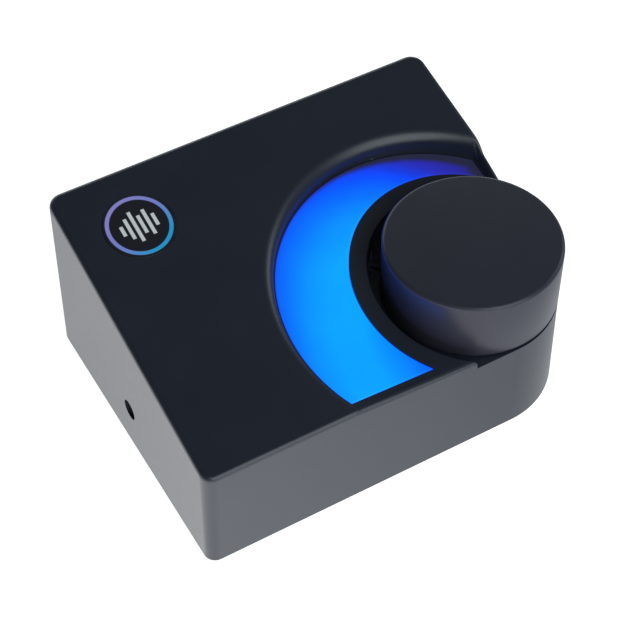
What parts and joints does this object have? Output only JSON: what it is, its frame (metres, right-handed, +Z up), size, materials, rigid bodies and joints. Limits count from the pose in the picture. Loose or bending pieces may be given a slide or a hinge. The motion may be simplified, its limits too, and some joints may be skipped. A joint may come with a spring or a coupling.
{
  "type": "studio monitor controller",
  "caption": "Wedge-shaped desktop monitor controller with a large volume knob over its rounded front corner and a glowing crescent lens around the knob.",
  "frame": {"origin": "centre of the case's footprint on the surface it stands on", "axes": "+X to the right, -Y towards the front with the low edge of the sloping top, +Z up"},
  "size_m": [0.12, 0.0932, 0.0566],
  "materials": {
    "case_plastic": "fine satin moulded black plastic",
    "knob_plastic": "satin black plastic, smooth",
    "base_plastic": "textured black plastic",
    "lens": "translucent plastic lit blue from behind",
    "badge": "printed disc, dark with a blue to violet ring",
    "foot_rubber": "black rubber",
    "white_plastic": "white plastic",
    "circuit_board": "green solder mask",
    "light_package": "light package with a clear window",
    "cable_grey": "grey flat cable",
    "steel": "zinc plated steel",
    "nickel": "nickel plate",
    "brass": "brass",
    "socket_plastic": "black moulded plastic",
    "wafer_board": "brown phenolic board",
    "capacitor_can": "aluminium can"
  },
  "bodies": {
    "case": {"audio_chips": "socket_plastic", "badge_disc": "badge", "base_plate": "base_plastic", "capacitors": "capacitor_can", "case_screws": "steel", "control_board": "circuit_board", "control_bushing": "nickel", "control_can": "steel", "control_nut": "nickel", "control_pin_strip": "socket_plastic", "control_socket_strip": "socket_plastic", "control_terminals": "brass", "control_wafer": "wafer_board", "control_washer": "steel", "crescent_lens": "lens", "foot_front_left": "foot_rubber", "foot_front_right": "foot_rubber", "foot_rear_left": "foot_rubber", "foot_rear_right": "foot_rubber", "input_socket": "socket_plastic", "input_socket_contacts": "brass", "led_lights": "light_package", "left_output_socket": "socket_plastic", "left_output_socket_contacts": "brass", "left_output_socket_nut": "nickel", "left_output_socket_washer": "nickel", "light_board": "circuit_board", "light_board_screws": "steel", "light_box": "white_plastic", "light_cable": "cable_grey", "light_cable_lower_connector": "white_plastic", "light_cable_upper_connector": "white_plastic", "main_board": "circuit_board", "main_board_screws": "steel", "pairing_switch": "socket_plastic", "power_socket": "steel", "power_socket_tongue": "socket_plastic", "right_output_socket": "socket_plastic", "right_output_socket_contacts": "brass", "right_output_socket_nut": "nickel", "right_output_socket_washer": "nickel", "upper_shell": "case_plastic", "wireless_chip": "socket_plastic", "wireless_module": "circuit_board", "wireless_shield": "steel"},
    "knob": {"volume_knob": "knob_plastic", "knob_insert": "brass", "control_shaft": "steel", "control_wiper": "wafer_board"},
    "button": {"pairing_button": "case_plastic", "pairing_switch_plunger": "socket_plastic"}
  },
  "joints": [
    {"name": "volume_turn", "type": "hinge", "parent": "case", "child": "knob", "pos_m": [0.035, -0.02165, 0.04], "axis": [0, 0, 1], "range_deg": [-150, 150]},
    {"name": "pairing_press", "type": "slide", "parent": "case", "child": "button", "axis": [0, -1, 0], "range_m": [0, 0.0005], "stiffness_N_per_m": 3000}
  ]
}
